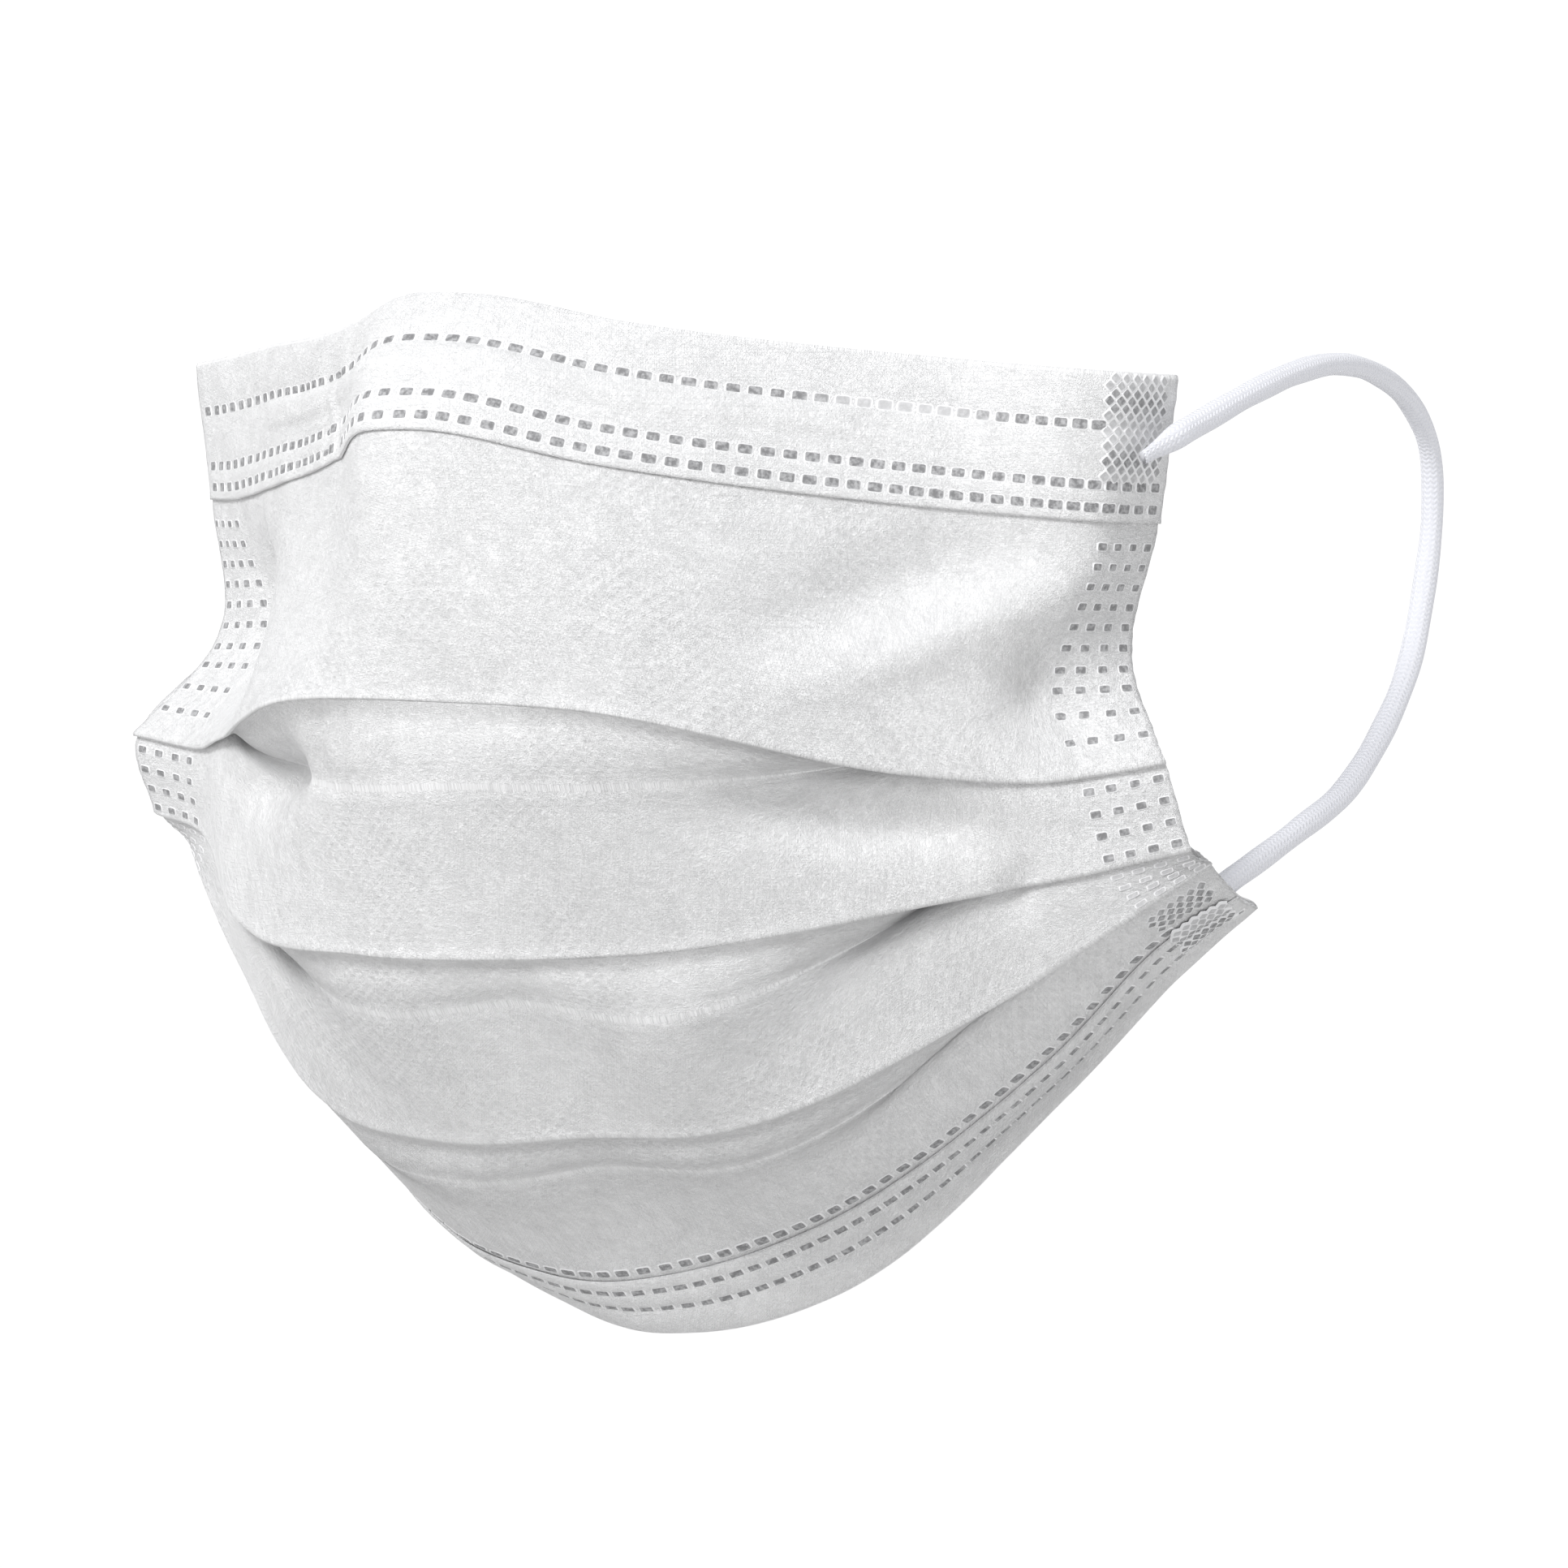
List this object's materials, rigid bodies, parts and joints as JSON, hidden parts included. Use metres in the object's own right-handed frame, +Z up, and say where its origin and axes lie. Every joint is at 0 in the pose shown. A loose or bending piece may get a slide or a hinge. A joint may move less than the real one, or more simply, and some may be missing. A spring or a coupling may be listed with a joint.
{
  "type": "surgical face mask",
  "caption": "Disposable pleated face mask in its worn shape: three-ply cloth with pleats open over nose and chin, folded hems, nose wire and elastic ear loops.",
  "frame": {"origin": "middle of the upper edge, on the bridge of the wearer's nose", "axes": "+Z up the wearer's face, the front of the mask faces -Y, +X towards the right of someone who looks at the front"},
  "size_m": [0.1593, 0.1194, 0.1378],
  "materials": {
    "mask_cloth": "matte white non-woven cloth",
    "hem_cloth": "matte white non-woven cloth with weld dashes",
    "nose_strip": "plain coated strip",
    "elastic": "soft knitted elastic"
  },
  "bodies": {
    "root": {"mask_panel": "mask_cloth", "top_hem": "hem_cloth", "bottom_hem": "hem_cloth", "nose_wire": "nose_strip", "ear_loop_right": "elastic", "ear_loop_left": "elastic"}
  },
  "joints": []
}
